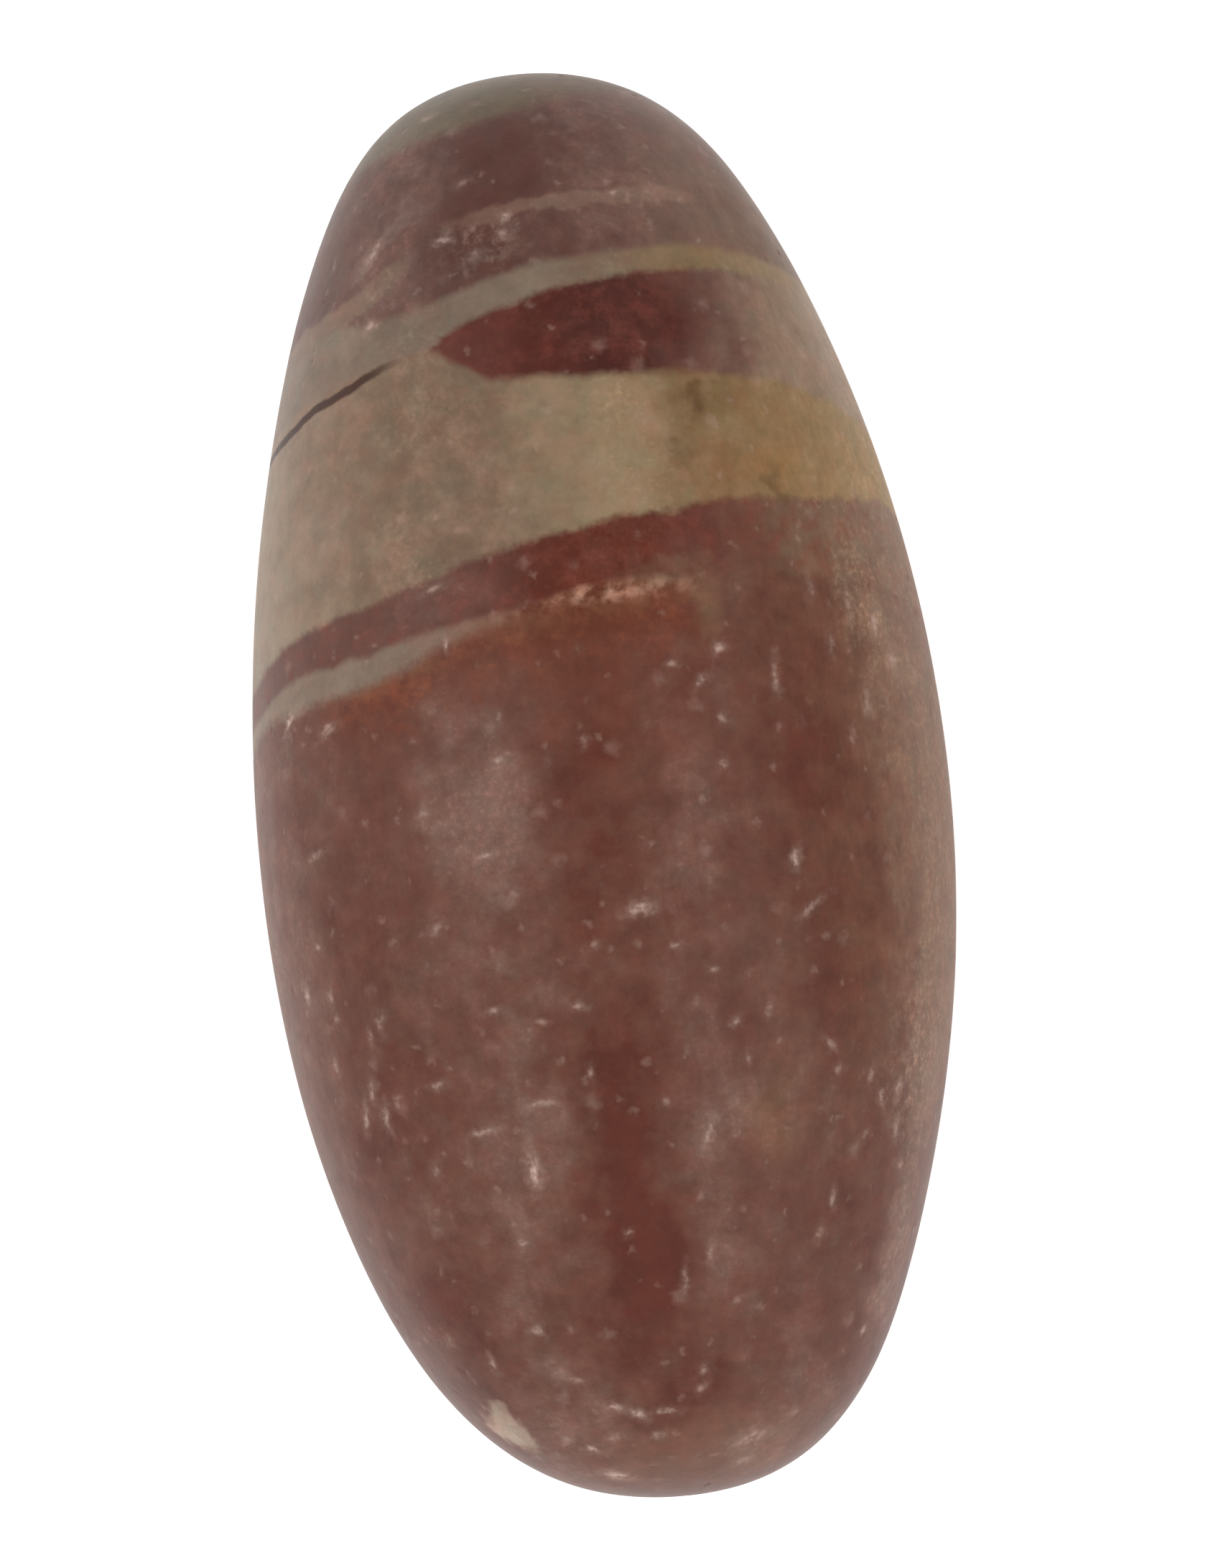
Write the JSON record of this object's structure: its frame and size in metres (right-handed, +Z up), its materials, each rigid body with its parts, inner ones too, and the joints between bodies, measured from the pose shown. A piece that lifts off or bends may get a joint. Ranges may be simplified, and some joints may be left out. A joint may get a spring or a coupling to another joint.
{
  "type": "shiva lingam stone",
  "caption": "Egg-shaped pebble of brick red jasper with slanting tan and grey bands, rubbed smooth, lying on its side as a desk, shelf or altar piece.",
  "frame": {"origin": "on the surface that the stone lies on, below the middle of its length and width", "axes": "+Y along the stone to its slimmer end, +X across its width, +Z up through its thickness"},
  "size_m": [0.0486, 0.0998, 0.0422],
  "materials": {
    "banded_jasper": "rubbed smooth to a low sheen, brick red with slanting tan and grey bands"
  },
  "bodies": {
    "root": {"lingam_stone": "banded_jasper"}
  },
  "joints": []
}
